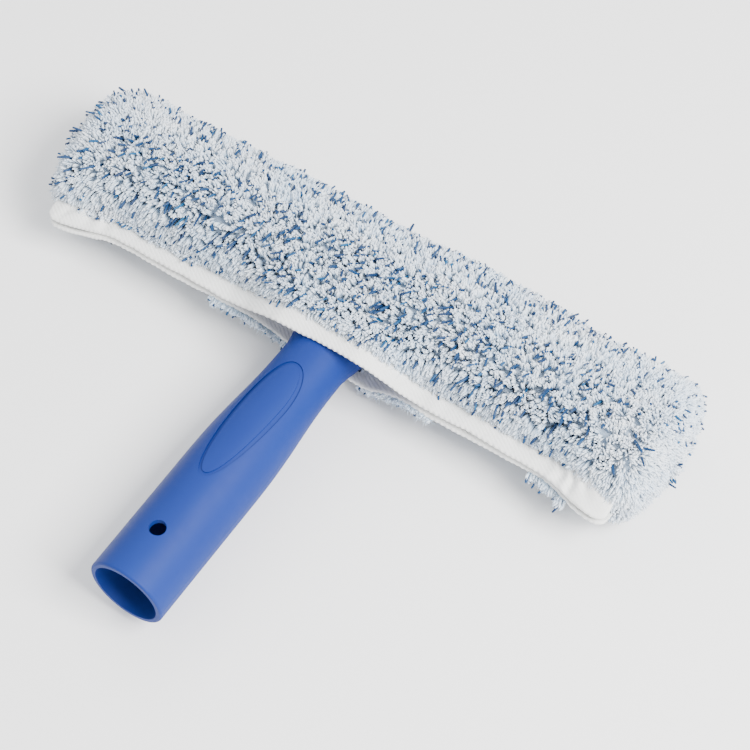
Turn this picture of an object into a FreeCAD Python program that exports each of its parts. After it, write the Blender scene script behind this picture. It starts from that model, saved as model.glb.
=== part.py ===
"""Hand-held window washer: a moulded T-bar with a pole socket in its handle, and a removable
microfibre sleeve that wraps the crossbar and closes with hook-and-loop tape on both sides of the handle.

Row frame, millimetres: +X runs along the crossbar, the handle points along -Y, and +Z is up from the
surface that the washer lies on. The origin is on that surface, under the middle of the outline.

Sections below are drawn about the crossbar's own axis, with "along" = Y and "up" = Z, and are
moved to the row frame when each node is written.
"""

import FreeCAD, Part  # FreeCAD has to be imported first

import math
import os

# ---- Driving dimensions -------------------------------------------------------------------
SLEEVE_LENGTH = 276.0        # pile end to pile end
SLEEVE_THICKNESS = 44.8      # pile surface to pile surface, across the T's plane
RIDGE_REACH = 30.2           # crossbar axis to the pile on the side away from the handle
PILE_DEPTH = 9.0             # pile and its backing cloth together
EDGE_REACH = 33.0            # crossbar axis to the sleeve's free edge, where the mouth is closed
FRONT_EDGE_DROOP = 4.0       # the front edge hangs this much further at the handle
BACK_EDGE_DROOP = -4.0       # and the back edge is drawn up, further along
BACK_DRAWN_FROM = 22.0
BACK_DRAWN_TO = 48.0
CORNER_DROOP = 6.0           # both edges hang further at their outer corners
BAND_WIDTH = 12.0            # width of the white edge band
BAND_THICKNESS = 2.0
BAND_LENGTH = 252.0
STRIP_WIDTH = 8.0            # hook and loop tape
STRIP_THICKNESS = 0.9
STRIP_NEAR = 68.0            # tape runs from here to there, each side of the handle
STRIP_FAR = 112.0
THREAD_WIDTH = 0.8           # lockstitch row on a band
THREAD_HEIGHT = 0.4
THREAD_INSET = 1.6           # from the band's pile edge
CLOSURE_GAP = 0.3            # between the engaged hook and loop faces
MOUTH_HALF_OPEN = 14.0       # the mouth is fully spread this far each side of the handle's axis
MOUTH_HALF_END = 46.0        # and closed from here outwards
CORNER_START = 96.0          # the corners' droop starts here
MOUTH_SPREAD = 12.6          # how far the handle pushes each band out
END_PANEL = 8.0              # thickness of the pile at each closed end

GRIP_RADIUS = 16.0
NECK_RADIUS = 13.1
HANDLE_REACH = 157.8         # crossbar axis to the open end of the socket
GRIP_TAPER_START = 98.0      # the grip is parallel from the socket's mouth to here
NECK_AT = 38.0               # crossbar axis to the narrowest place of the neck
SOCKET_RADIUS = 13.7
SOCKET_DEPTH = 45.0          # parallel seat for the pole's tip
SOCKET_CONE_END_RADIUS = 9.6
SOCKET_CONE_END = 52.0       # crossbar axis to the blind end of the core
LIP_ROUND = 1.0
LOCK_HOLE_RADIUS = 3.3
LOCK_HOLE_FROM_MOUTH = 22.1

OVAL_NEAR = 48.0             # thumb oval: nearest and furthest from the crossbar axis
OVAL_FAR = 109.0
OVAL_HALF_WIDTH = 8.6
OVAL_WIDEST_AT = 70.0
OVAL_GROOVE_WIDTH = 1.7
OVAL_GROOVE_DEPTH = 0.55

COLLAR_LENGTH = 36.0         # the head's ring round the crossbar
COLLAR_RADIUS = 13.0
BAR_RADIUS = 11.0
BAR_WALL = 2.0
BAR_LENGTH = 248.0
BAR_FIT = 0.05               # radial clearance of the bar in the collar
DRAIN_RADIUS = 3.5
DRAIN_PITCH = 22.0
PLUG_FLANGE = 1.6
PLUG_SPIGOT = 9.0
SCREW_RADIUS = 2.0
SCREW_TIP = 30.0             # crossbar axis to the screw's tip, in the neck
SCREW_HEAD_RADIUS = 3.8
SCREW_HEAD_HEIGHT = 2.2
SCREW_HEAD_SINK = 2.4        # depth of the head's counterbore below the collar

# ---- Worked out from them -----------------------------------------------------------------
HALF_THICKNESS = SLEEVE_THICKNESS / 2
HALF_INSIDE = SLEEVE_LENGTH / 2 - END_PANEL
CAVITY_HALF = HALF_THICKNESS - PILE_DEPTH
BAND_INNER = CLOSURE_GAP / 2 + STRIP_THICKNESS
PILE_AT_BAND = BAND_INNER + BAND_THICKNESS + 1.6  # pile surface above the middle, where the band starts
BODY_GAP = 0.3               # between pieces of different bodies
BAR_AXIS_Y = (HANDLE_REACH - RIDGE_REACH) / 2
BAR_AXIS_Z = HALF_THICKNESS
TO_ROW = FreeCAD.Vector(0, BAR_AXIS_Y, BAR_AXIS_Z)
ALONG_X = FreeCAD.Vector(1, 0, 0)
ALONG_Y = FreeCAD.Vector(0, 1, 0)
UP = FreeCAD.Vector(0, 0, 1)
ROUNDNESS = 2.3              # exponent of the sleeve's outline: 2 is an ellipse
PROFILE_STEPS = 9
FRONT, BACK = 1, -1          # the two sides of the mouth, as signs of "up"

os.makedirs("parts", exist_ok=True)


def vec(x, y, z):
    return FreeCAD.Vector(x, y, z)


def write(name, shape):
    """Moves a node from the crossbar's axis to the row frame and writes its STEP file."""
    placed = shape.copy()
    placed.translate(TO_ROW)
    placed.exportStep(f"parts/{name}.step")
    solids = placed.Solids
    sound = all(s.isValid() and s.Volume > 0 for s in solids)
    print(f"{name:22s} solids {len(solids):3d}  volume {placed.Volume:9.1f}  sound {sound}")


def rod(radius, length, start, direction):
    return Part.makeCylinder(radius, length, start, direction)


def one_solid(shape):
    """A boolean's result without the compound round it."""
    return shape.Solids[0] if len(shape.Solids) == 1 else shape


# ---- Sleeve outlines ----------------------------------------------------------------------
def quarter(reach, top, low):
    """Points of a rounded quarter outline, from straight above the bar to the side at (reach, low)."""
    points = []
    for step in range(PROFILE_STEPS + 1):
        turn = math.pi / 2 * step / PROFILE_STEPS
        along = reach * math.sin(turn) ** (2 / ROUNDNESS)
        up = low + (top - low) * max(0.0, math.cos(turn)) ** (2 / ROUNDNESS)
        points.append((along, up))
    return points


def ease(share):
    """Smooth step from 0 to 1."""
    share = min(1.0, max(0.0, share))
    return (1 - math.cos(math.pi * share)) / 2


def falls_off(x, start, end):
    """1 near the handle, up to start, falling smoothly to 0 from end outwards."""
    return 1 - ease((abs(x) - start) / (end - start))


def spread_at(x):
    """How far the handle pushes each band off the middle at x."""
    return MOUTH_SPREAD * falls_off(x, MOUTH_HALF_OPEN, MOUTH_HALF_END)


def free_edge(x, side):
    """Distance from the crossbar's axis to the sleeve's free edge at x."""
    if side == FRONT:
        droop = FRONT_EDGE_DROOP * falls_off(x, MOUTH_HALF_OPEN, MOUTH_HALF_END)
    else:
        droop = BACK_EDGE_DROOP * falls_off(x, BACK_DRAWN_FROM, BACK_DRAWN_TO)
    corner = 1 - falls_off(x, CORNER_START, BAND_LENGTH / 2)
    return EDGE_REACH + droop + CORNER_DROOP * corner


def evenly(start, end, steps):
    return [start + (end - start) * i / steps for i in range(steps)]


def stations(half_length):
    """X stations of the flap sections, close together where the mouth opens and at the corners."""
    mouth = evenly(MOUTH_HALF_OPEN, MOUTH_HALF_END, 6) + evenly(MOUTH_HALF_END, BACK_DRAWN_TO, 2)
    corner = evenly(BACK_DRAWN_TO, CORNER_START, 1) + evenly(CORNER_START, BAND_LENGTH / 2, 3)
    right = [x for x in mouth + corner + [BAND_LENGTH / 2] if x < half_length] + [half_length]
    return [-x for x in reversed(right)] + right


def wire_at(x, points):
    corners = [vec(x, along, up) for along, up in points]
    return Part.makePolygon(corners + [corners[0]])


def ruled(wires):
    return Part.makeLoft(wires, True, True)


def flap_pile_section(x, side):
    """Section of a lower pile panel, from above the crossbar to the edge band."""
    spread = spread_at(x)
    reach = free_edge(x, side) - BAND_WIDTH
    outer = quarter(reach, HALF_THICKNESS, PILE_AT_BAND + spread)
    inner = quarter(reach, CAVITY_HALF, min(CAVITY_HALF, BAND_INNER + spread))
    points = outer + list(reversed(inner))
    return wire_at(x, [(-along, side * up) for along, up in points])


def flap_pile(side):
    return ruled([flap_pile_section(x, side) for x in stations(HALF_INSIDE - BODY_GAP)])


def strip_along_mouth(side, start, width, low, height, xs):
    """A flat strip that follows the mouth, at start below the band's pile edge and low off the middle."""
    wires = []
    for x in xs:
        near = free_edge(x, side) - BAND_WIDTH + start
        base = low + spread_at(x)
        corners = [(near, base), (near + width, base), (near + width, base + height), (near, base + height)]
        wires.append(wire_at(x, [(-along, side * up) for along, up in corners]))
    return ruled(wires)


def edge_band(side):
    return strip_along_mouth(side, 0.0, BAND_WIDTH, BAND_INNER, BAND_THICKNESS, stations(BAND_LENGTH / 2))


def band_thread(side):
    """Row of lockstitch along the outer face of a band, just outside the pile."""
    outside = BAND_INNER + BAND_THICKNESS
    return strip_along_mouth(
        side, THREAD_INSET, THREAD_WIDTH, outside, THREAD_HEIGHT, stations(BAND_LENGTH / 2 - 2)
    )


def closure_strip(side, hand):
    """Hook or loop tape on the band's inner face, between the open part of the mouth and the corner."""
    start = (BAND_WIDTH - STRIP_WIDTH) / 2
    mid = hand * CORNER_START
    ends = sorted((hand * STRIP_NEAR, mid, hand * STRIP_FAR))
    return strip_along_mouth(side, start, STRIP_WIDTH, CLOSURE_GAP / 2, STRIP_THICKNESS, ends)


def crown_outline(top, reach, start):
    """Half ring over the ridge, from just past the hinge line above the bar to the one below it."""
    upper = [(max(along, start), up) for along, up in quarter(reach, top, 0.0)]
    lower = [(along, -up) for along, up in reversed(upper[:-1])]
    return upper + lower


def crown_pile():
    outer = crown_outline(HALF_THICKNESS, RIDGE_REACH, BODY_GAP)
    inner = crown_outline(CAVITY_HALF, RIDGE_REACH - PILE_DEPTH, BODY_GAP)
    face = Part.Face(wire_at(-HALF_INSIDE, outer + list(reversed(inner))))
    return face.extrude(vec(2 * HALF_INSIDE, 0, 0))


def end_outline(x, share):
    """Whole outline of the closed end at x, drawn in to share of its size."""
    away = quarter(RIDGE_REACH, HALF_THICKNESS, 0.0)
    mouth = quarter(EDGE_REACH + CORNER_DROOP - BAND_WIDTH - BODY_GAP, HALF_THICKNESS, PILE_AT_BAND)
    upper = [(-along, up) for along, up in reversed(mouth)] + away[1:]
    lower = [(along, -up) for along, up in reversed(upper)]
    points = upper + lower[1:]
    return wire_at(x, [(along * share, up * share) for along, up in points])


def end_panel(hand):
    """The closed end of the sleeve: pile that rounds over from the sides to the end."""
    near = hand * HALF_INSIDE
    middle = hand * (HALF_INSIDE + END_PANEL * 0.6)
    far = hand * (HALF_INSIDE + END_PANEL)
    return ruled([end_outline(near, 1.0), end_outline(middle, 0.96), end_outline(far, 0.84)])


# ---- T-bar --------------------------------------------------------------------------------
def grip_outline(offset):
    """Half outline of the grip, (along, radius), drawn in by offset: mouth, parallel grip, neck."""
    mouth = -HANDLE_REACH
    return [
        (mouth, GRIP_RADIUS - offset),
        (-GRIP_TAPER_START, GRIP_RADIUS - offset),
        (-NECK_AT, NECK_RADIUS - offset),
    ]


def turned(points, curve_from, curve_to):
    """Turns a half outline about the handle's axis, with a smooth taper between two of its points."""
    start, end = points[curve_from], points[curve_to]
    pull = (end[0] - start[0]) * 0.45
    taper = Part.BezierCurve()
    taper.setPoles([
        vec(start[1], start[0], 0),
        vec(start[1], start[0] + pull, 0),
        vec(end[1], end[0] - pull, 0),
        vec(end[1], end[0], 0),
    ])
    first, last = points[0], points[-1]
    edges = [
        Part.LineSegment(vec(0, first[0], 0), vec(first[1], first[0], 0)).toShape(),
        Part.LineSegment(vec(first[1], first[0], 0), vec(start[1], start[0], 0)).toShape(),
        taper.toShape(),
        Part.LineSegment(vec(last[1], last[0], 0), vec(0, last[0], 0)).toShape(),
        Part.LineSegment(vec(0, last[0], 0), vec(0, first[0], 0)).toShape(),
    ]
    face = Part.Face(Part.Wire(edges))
    return face.revolve(vec(0, 0, 0), ALONG_Y, 360)


def round_at(along, half_width, half_height):
    """A circle or an upright-narrow ellipse across the handle's axis."""
    centre = vec(0, along, 0)
    if half_width == half_height:
        return Part.Wire(Part.Circle(centre, ALONG_Y, half_width).toShape())
    wide_end = centre + vec(half_width, 0, 0)
    high_end = centre + vec(0, 0, half_height)
    return Part.Wire(Part.Ellipse(wide_end, high_end, centre).toShape())


def head_flare():
    """The neck widens along the crossbar into the collar, at the neck's own thickness."""
    sections = [
        round_at(-NECK_AT, NECK_RADIUS, NECK_RADIUS),
        round_at(-NECK_AT + 7.0, NECK_RADIUS + 1.4, NECK_RADIUS - 0.02),
        round_at(-22.0, NECK_RADIUS + 4.0, NECK_RADIUS - 0.1),
        round_at(-5.0, COLLAR_LENGTH / 2 - 0.5, COLLAR_RADIUS - 0.4),
    ]
    return Part.makeLoft(sections, True, False)


def socket_core():
    """What is taken out of the grip: a parallel seat, then a cone to the blind end."""
    mouth = -HANDLE_REACH
    seat_end = mouth + SOCKET_DEPTH
    seat = rod(SOCKET_RADIUS, SOCKET_DEPTH, vec(0, mouth, 0), ALONG_Y)
    cone_length = -SOCKET_CONE_END - seat_end
    cone = Part.makeCone(
        SOCKET_RADIUS - 0.6, SOCKET_CONE_END_RADIUS, cone_length, vec(0, seat_end, 0), ALONG_Y
    )
    return seat.fuse(cone)


def egg(offset, low, high):
    """Upright prism of the thumb oval, drawn in by offset: wide near the neck, slim towards the mouth."""
    near, far = -OVAL_NEAR - offset, -OVAL_FAR + offset
    half, widest = OVAL_HALF_WIDTH - offset, -OVAL_WIDEST_AT
    curves = []
    for hand in (1, -1):
        round_end = Part.BezierCurve()
        round_end.setPoles([
            vec(0, near, low),
            vec(hand * half * 0.72, near, low),
            vec(hand * half, near + (widest - near) * 0.45, low),
            vec(hand * half, widest, low),
        ])
        slim_end = Part.BezierCurve()
        slim_end.setPoles([
            vec(hand * half, widest, low),
            vec(hand * half, widest + (far - widest) * 0.5, low),
            vec(hand * half * 0.62, far, low),
            vec(0, far, low),
        ])
        curves.append((round_end.toShape(), slim_end.toShape()))
    (round_right, slim_right), (round_left, slim_left) = curves
    wire = Part.Wire(Part.__sortEdges__([round_right, slim_right, slim_left, round_left]))
    return Part.Face(wire).extrude(vec(0, 0, high - low))


def oval_groove():
    """The shallow line that outlines the thumb oval, following the grip's surface."""
    ring = egg(0.0, 0.0, GRIP_RADIUS + 2).cut(egg(OVAL_GROOVE_WIDTH, -1.0, GRIP_RADIUS + 3))
    skin = turned(grip_outline(0.0), 1, 2).cut(turned(grip_outline(OVAL_GROOVE_DEPTH), 1, 2))
    return ring.common(skin)


def round_lip(shape):
    """Rounds the outer rim of the socket's mouth."""
    rims = [
        edge
        for edge in shape.Edges
        if abs(edge.BoundBox.YMin + HANDLE_REACH) < 1e-3
        and abs(edge.BoundBox.YMax + HANDLE_REACH) < 1e-3
        and abs(edge.BoundBox.XMax - GRIP_RADIUS) < 1e-3
    ]
    return shape.makeFillet(LIP_ROUND, rims)


def handle():
    grip = round_lip(turned(grip_outline(0.0), 1, 2))
    collar = rod(COLLAR_RADIUS, COLLAR_LENGTH, vec(-COLLAR_LENGTH / 2, 0, 0), ALONG_X)
    body = grip.fuse(head_flare()).fuse(collar).removeSplitter()
    bar_hole = rod(BAR_RADIUS + BAR_FIT, COLLAR_LENGTH + 2, vec(-COLLAR_LENGTH / 2 - 1, 0, 0), ALONG_X)
    lock_hole = rod(LOCK_HOLE_RADIUS, GRIP_RADIUS + 4, vec(0, -HANDLE_REACH + LOCK_HOLE_FROM_MOUTH, 0), UP)
    screw_hole = rod(SCREW_RADIUS, SCREW_TIP + COLLAR_RADIUS + 2, vec(0, -SCREW_TIP, 0), ALONG_Y)
    sink = rod(SCREW_HEAD_RADIUS + 0.2, SCREW_HEAD_SINK + 5, vec(0, BAR_RADIUS - 0.4, 0), ALONG_Y)
    body = body.cut(socket_core()).cut(bar_hole).cut(lock_hole).cut(screw_hole).cut(sink)
    return one_solid(body.cut(oval_groove()))


def crossbar():
    """Perforated tube: the holes let the sleeve draw on the water held in the tube."""
    outer = rod(BAR_RADIUS, BAR_LENGTH, vec(-BAR_LENGTH / 2, 0, 0), ALONG_X)
    inner = rod(BAR_RADIUS - BAR_WALL, BAR_LENGTH + 2, vec(-BAR_LENGTH / 2 - 1, 0, 0), ALONG_X)
    tube = outer.cut(inner)
    holes_each_side = 4
    first = COLLAR_LENGTH / 2 + DRAIN_PITCH / 2
    for number in range(holes_each_side):
        for hand in (1, -1):
            x = hand * (first + number * DRAIN_PITCH)
            across = rod(DRAIN_RADIUS, 2 * BAR_RADIUS + 4, vec(x, 0, -BAR_RADIUS - 2), UP)
            through = rod(DRAIN_RADIUS, 2 * BAR_RADIUS + 4, vec(x, -BAR_RADIUS - 2, 0), ALONG_Y)
            tube = tube.cut(across).cut(through)
    screw_way = rod(SCREW_RADIUS + 0.15, 2 * BAR_RADIUS + 4, vec(0, -BAR_RADIUS - 2, 0), ALONG_Y)
    return one_solid(tube.cut(screw_way))


def bar_plug(hand):
    """Blanking plug pressed into an end of the crossbar, with a rounded flange."""
    end = hand * BAR_LENGTH / 2
    outward = vec(hand, 0, 0)
    flange = rod(BAR_RADIUS, PLUG_FLANGE, vec(end, 0, 0), outward)
    rim = [e for e in flange.Edges if abs(e.BoundBox.XMin - end) > 0.5 and e.BoundBox.XLength < 1e-3]
    flange = flange.makeFillet(PLUG_FLANGE * 0.5, rim)
    spigot = rod(BAR_RADIUS - BAR_WALL, PLUG_SPIGOT, vec(end - hand * PLUG_SPIGOT, 0, 0), outward)
    return one_solid(flange.fuse(spigot))


def head_screw():
    """The screw that holds the crossbar in the collar and bites into the neck."""
    seat = BAR_RADIUS + 0.2
    shank = rod(SCREW_RADIUS, SCREW_TIP + seat, vec(0, -SCREW_TIP, 0), ALONG_Y)
    head = rod(SCREW_HEAD_RADIUS, SCREW_HEAD_HEIGHT, vec(0, seat, 0), ALONG_Y)
    slot_width, slot_depth = 1.0, 1.0
    top = seat + SCREW_HEAD_HEIGHT
    cross = Part.makeBox(5.0, slot_depth, slot_width, vec(-2.5, top - slot_depth, -slot_width / 2))
    other = Part.makeBox(slot_width, slot_depth, 5.0, vec(-slot_width / 2, top - slot_depth, -2.5))
    return one_solid(shank.fuse(head).cut(cross).cut(other))


def main():
    write("handle", handle())
    write("crossbar", crossbar())
    write("head_screw", head_screw())
    write("crown_pile", crown_pile())
    for hand, name in ((-1, "left"), (1, "right")):
        write(f"crossbar_plug_{name}", bar_plug(hand))
        write(f"end_panel_{name}", end_panel(hand))
        write(f"hook_strip_{name}", closure_strip(FRONT, hand))
        write(f"loop_strip_{name}", closure_strip(BACK, hand))
    for side, name in ((FRONT, "front"), (BACK, "back")):
        write(f"{name}_pile", flap_pile(side))
        write(f"{name}_edge_band", edge_band(side))
        write(f"{name}_band_thread", band_thread(side))


main()
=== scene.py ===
"""Looks of the window washer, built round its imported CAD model.

The T-bar, plugs and screw are the CAD nodes with better materials. The sleeve is made here: a knitted
backing with a bed of pile, tufts, loose fibres and scrubbing bristles on it, and a twill edge band with
stitching and hook-and-loop tape on each side of its mouth.

Lengths in the sleeve's own functions are in millimetres about the crossbar's axis: x along it, "along"
away from the handle, and "up". to_row() turns them into the row frame, in metres. A "turn" is an angle
round one side of the sleeve, from 0 at its ridge, which is furthest from the handle, to pi at its band.
"""

import math

import bpy
import numpy as np
from mathutils import Matrix, Vector


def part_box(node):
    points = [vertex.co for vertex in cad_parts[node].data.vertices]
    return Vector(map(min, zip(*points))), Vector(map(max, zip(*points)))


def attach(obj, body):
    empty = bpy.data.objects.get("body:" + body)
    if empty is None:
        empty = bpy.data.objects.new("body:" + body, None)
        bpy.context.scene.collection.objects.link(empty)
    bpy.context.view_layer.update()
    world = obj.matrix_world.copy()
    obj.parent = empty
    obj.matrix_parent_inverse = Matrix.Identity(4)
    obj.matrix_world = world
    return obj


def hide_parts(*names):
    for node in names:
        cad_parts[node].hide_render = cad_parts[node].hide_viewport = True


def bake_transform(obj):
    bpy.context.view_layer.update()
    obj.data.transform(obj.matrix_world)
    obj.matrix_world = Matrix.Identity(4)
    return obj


MM = 0.001

# ---- Sleeve, as in the CAD model, in millimetres -------------------------------------------
SLEEVE_LENGTH = 276.0
HALF_THICKNESS = 22.4
PILE_DEPTH = 9.0
ROUNDNESS = 2.3              # power of the outline: 2 is an ellipse, and more is squarer
RIDGE_REACH = 30.2           # from the crossbar's axis to the ridge
EDGE_REACH = 33.0            # from the crossbar's axis to the free edge
FRONT_EDGE_DROOP = 4.0       # how much further the front edge reaches at the handle
BACK_EDGE_DROOP = -4.0       # the back edge is drawn up there
BACK_DRAWN_FROM, BACK_DRAWN_TO = 22.0, 48.0
CORNER_DROOP = 6.0           # how much further a free edge reaches at its ends
CORNER_START = 96.0
MOUTH_SPREAD = 12.6          # how far each flap stands off the middle plane at the handle
MOUTH_HALF_OPEN, MOUTH_HALF_END = 14.0, 46.0
BAND_WIDTH = 12.0
BAND_THICKNESS = 2.0
BAND_LENGTH = 252.0
BAND_INNER = 1.05            # band's inner face, off the middle plane
STRIP_WIDTH, STRIP_THICKNESS = 8.0, 0.9
STRIP_NEAR, STRIP_FAR = 68.0, 112.0
THREAD_INSET = 1.6           # row of stitches, from the band's pile side
FRONT, BACK = 1, -1          # the front is the upper side
SIDES = ((FRONT, "front"), (BACK, "back"))

# ---- Closed ends ---------------------------------------------------------------------------
CAP_DEPTH = 12.0             # how far the closed ends round over
CAP_START = SLEEVE_LENGTH / 2 - CAP_DEPTH
CAP_RUN = CAP_DEPTH * 2.2    # length of x past CAP_START that the dome takes up
CAP_ROUNDNESS = ROUNDNESS + 0.4
CAP_MIDDLE = 1.5             # along, where the dome closes

# ---- Pile ----------------------------------------------------------------------------------
PILE_AT_BAND = 4.65          # pile surface off the middle plane, where the band starts
BACKING = 1.0                # knitted backing's thickness
BED_DEPTH = 3.3              # bed of pile, below the tips
BED_ROUGHNESS = 0.6
LUMPS = ((1.1, 30.0), (0.75, 9.0))   # height and width of the pile's uneven places
SKIN_PER_TURN = 24.0         # about how many millimetres of skin a turn of 1 is

TUFT_PITCH = 1.76
TUFT_LENGTH = 6.2
TUFT_SPREAD = 0.44           # wisps' distance from the middle of their tuft
TUFT_GROUPS = 6              # meshes per side, so that none is too large
WISPS = 5                    # in a tuft: one in the middle and four round it
WISP_RADIUS = 0.55
FIBRES_PER_TUFT = 2
BRISTLE_PITCH = 3.3
BRISTLE_RADIUS = 0.52
BRISTLE_DEPTH = 3.4          # how far below the tips of the pile a bristle is drawn from

# Where the pile changes, as (start, run) of |x| towards the closed ends or of turn towards the band
SOFT_ENDS = (100.0, 26.0)
SOFT_BY_BAND = (2.5, 0.5)
SHALLOW_BY_BAND = (2.55, 0.5)
LEAN_OUT_ENDS = (104.0, 28.0)
LEAN_BY_BAND = (2.2, 0.8)
BRISTLE_ENDS = (104.0, 24.0)
BRISTLE_BARE_END = (108.0, 14.0)         # at the right only
BRISTLE_BAND_SIDE = (1.3, 0.4)
BRISTLE_BY_BAND = (2.35, 0.6)

# Rings of a strand, as (share of length, share of radius)
WISP_PROFILE = ((0.05, 0.8), (0.66, 1.0), (0.90, 0.88), (0.98, 0.50))
FIBRE_PROFILE = ((0.1, 1.0), (0.6, 0.8))
BRISTLE_PROFILE = ((0.02, 0.9), (0.35, 1.0), (0.7, 0.97), (0.97, 0.78))
HOOK_PROFILE = ((0.1, 0.8), (0.55, 0.9), (0.85, 1.3))

# Pile that reaches past an edge band, as (side, x from and to, distance from the band's pile side
# from and to, tufts per millimetre, share of a tuft's length). The front's grows over the band's
# pile side, and the back's past its free edge.
FRINGES = (
    (FRONT, -117.0, -64.0, -0.5, 4.0, 4.6, 0.62),
    (FRONT, 52.0, 104.0, -0.5, 0.8, 2.0, 0.60),
    (BACK, -53.0, -15.0, 9.6, 11.9, 5.0, 0.40),
    (BACK, 13.0, 50.0, 9.6, 11.7, 4.5, 0.34),
    (BACK, 94.0, 111.0, 8.5, 11.6, 3.0, 0.66),
)

# ---- Pile against the floor ----------------------------------------------------------------
PRESS_HEIGHT = 3.0           # pile that comes nearer to the floor than this is flattened
PRESS_DEPTH = 4.0            # pile would reach at most this far below the floor
PRESS_GAP = 0.15             # left under the flattened pile

# ---- Edge band, stitching and closure ------------------------------------------------------
BAND_STATIONS = 640          # sections along the band
BAND_OVERRUN = 3.2           # tape past each end of BAND_LENGTH
BAND_CORNER = 5.0            # radius of its corners
TAPE = 0.7                   # thickness of one layer of the tape
RIB_PITCH = 1.35
RIB_HEIGHT = 0.14
RIB_SLANT = 1.5
GATHER_FROM, GATHER_TO = 97.0, 119.0     # x where the tape climbs the pile, at the corners
PUFF_HEIGHT, PUFF_AT, PUFF_WIDTH = 1.3, 119.0, 7.0
CREASE_HEIGHT, CREASE_AT, CREASE_WIDTH = 0.85, 112.0, 13.0
CREASES = 16                 # creases in a whole turn round the point that they fan out from
FAN_AT, FAN_ABOVE = 104.0, 19.0          # that point's x, and its distance from the free edge
STITCH_PITCH, STITCH_LENGTH, STITCH_RADIUS = 2.9, 2.2, 0.26
STITCH_FLATNESS = 0.8        # thickness of a stitch as a share of its width
STITCH_PROUD = 0.12
STRIP_BASE = 0.4             # woven base of the hook or loop tape
HOOK_PITCH, HOOK_RADIUS = 1.05, 0.20
HOOK_ROWS, HOOK_HALF_SPAN = 8, 3.4
HOOK_JITTER = 0.12
HOOK_SHORT = 0.08            # hooks end this far short of the strip's thickness

# ---- Seeds ---------------------------------------------------------------------------------
SEED = 11
BACK_SEED_STEP = 100
BED_SEED = SEED + 7
WAVE_SEED = SEED + 20
RIPPLE_SEED = SEED + 23
CREASE_SEED = SEED + 25
LEAN_SEED = SEED + 40

BAKE_MAP = "OFBake"          # name of the bake map, where a piece has one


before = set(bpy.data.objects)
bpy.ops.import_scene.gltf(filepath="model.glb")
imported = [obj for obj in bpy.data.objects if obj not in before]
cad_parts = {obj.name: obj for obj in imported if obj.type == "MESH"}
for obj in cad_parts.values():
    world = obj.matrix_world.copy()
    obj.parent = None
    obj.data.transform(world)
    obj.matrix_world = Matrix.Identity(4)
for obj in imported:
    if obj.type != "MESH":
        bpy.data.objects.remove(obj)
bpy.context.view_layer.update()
bar_low, bar_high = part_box("crossbar")
BAR_AXIS = (bar_low + bar_high) / 2


def to_row(points):
    """Millimetres about the crossbar's axis to metres in the row frame."""
    return np.asarray(points, float) * MM + np.array(BAR_AXIS)


def grows(value, start, run):
    """0 up to start, and from there up to 1 over a length of run."""
    return np.clip((value - start) / run, 0, 1)


def falls_off(x, start, end):
    """1 up to start on both sides of the middle, and from there smoothly down to 0 at end."""
    return (1 + np.cos(np.pi * grows(np.abs(x), start, end - start))) / 2


def bell(distance, width):
    return np.exp(-((distance / width) ** 2))


# ---- Camera, floor and light ---------------------------------------------------------------
AZIMUTH, ELEVATION, ROLL = 36.53, 56.44, 2.84    # degrees
DISTANCE = 1.0567            # metres from the middle of the crossbar
AIM_RIGHT, AIM_UP = 0.0020, -0.0308      # metres from there to the middle of the view
LENS, SENSOR = 130.53024, 36.0           # millimetres
FLOOR_SIZE = 8.0
SURROUND_STRENGTH = 1.3
SOFT_BOXES = (               # name, place, size, power in watts, colour
    ("key", (0.85, -0.02, 0.95), 0.6, 42.0, (1.0, 0.99, 0.97)),
    ("fill", (-0.7, 0.5, 1.1), 0.9, 5.0, (0.95, 0.98, 1.0)),
)


def make_camera():
    """The view is from above and from the right, with the lens well back."""
    azimuth, elevation, roll = (math.radians(angle) for angle in (AZIMUTH, ELEVATION, ROLL))
    back = Vector((
        math.sin(azimuth) * math.cos(elevation),
        -math.cos(azimuth) * math.cos(elevation),
        math.sin(elevation),
    ))
    level = Vector((math.cos(azimuth), math.sin(azimuth), 0))
    right = Matrix.Rotation(-roll, 3, back) @ level
    up = back.cross(right)
    data = bpy.data.cameras.new("camera")
    data.sensor_width = SENSOR
    data.lens = LENS
    data.clip_start, data.clip_end = 0.01, 50.0
    camera = bpy.data.objects.new("camera", data)
    turn = Matrix((right, up, back)).transposed().to_4x4()
    place = BAR_AXIS + right * AIM_RIGHT + up * AIM_UP + back * DISTANCE
    camera.matrix_world = Matrix.Translation(place) @ turn
    bpy.context.scene.collection.objects.link(camera)
    bpy.context.scene.camera = camera


def soft_box(name, place, size, power, colour):
    """Square area light that faces the origin."""
    data = bpy.data.lights.new(name, "AREA")
    data.shape = "RECTANGLE"
    data.size = data.size_y = size
    data.energy = power
    data.color = colour
    light = bpy.data.objects.new(name, data)
    light.location = place
    light.rotation_mode = "QUATERNION"
    light.rotation_quaternion = (-Vector(place)).to_track_quat("-Z", "Y")
    bpy.context.scene.collection.objects.link(light)


def make_studio():
    """Pale floor, an even white surround and two soft boxes."""
    bpy.ops.mesh.primitive_plane_add(size=FLOOR_SIZE, location=(0, 0, 0))
    floor = bpy.context.object
    floor.name = "floor"
    floor.data.materials.append(floor_paper())
    world = bpy.data.worlds.new("surround")
    world.use_nodes = True
    background = world.node_tree.nodes["Background"]
    background.inputs["Color"].default_value = (0.97, 0.98, 1.0, 1)
    background.inputs["Strength"].default_value = SURROUND_STRENGTH
    bpy.context.scene.world = world
    for light in SOFT_BOXES:
        soft_box(*light)


# ---- Node helpers --------------------------------------------------------------------------
def new_material(name):
    material = bpy.data.materials.new(name)
    material.use_nodes = True
    tree = material.node_tree
    return material, tree, tree.nodes["Principled BSDF"]


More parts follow.
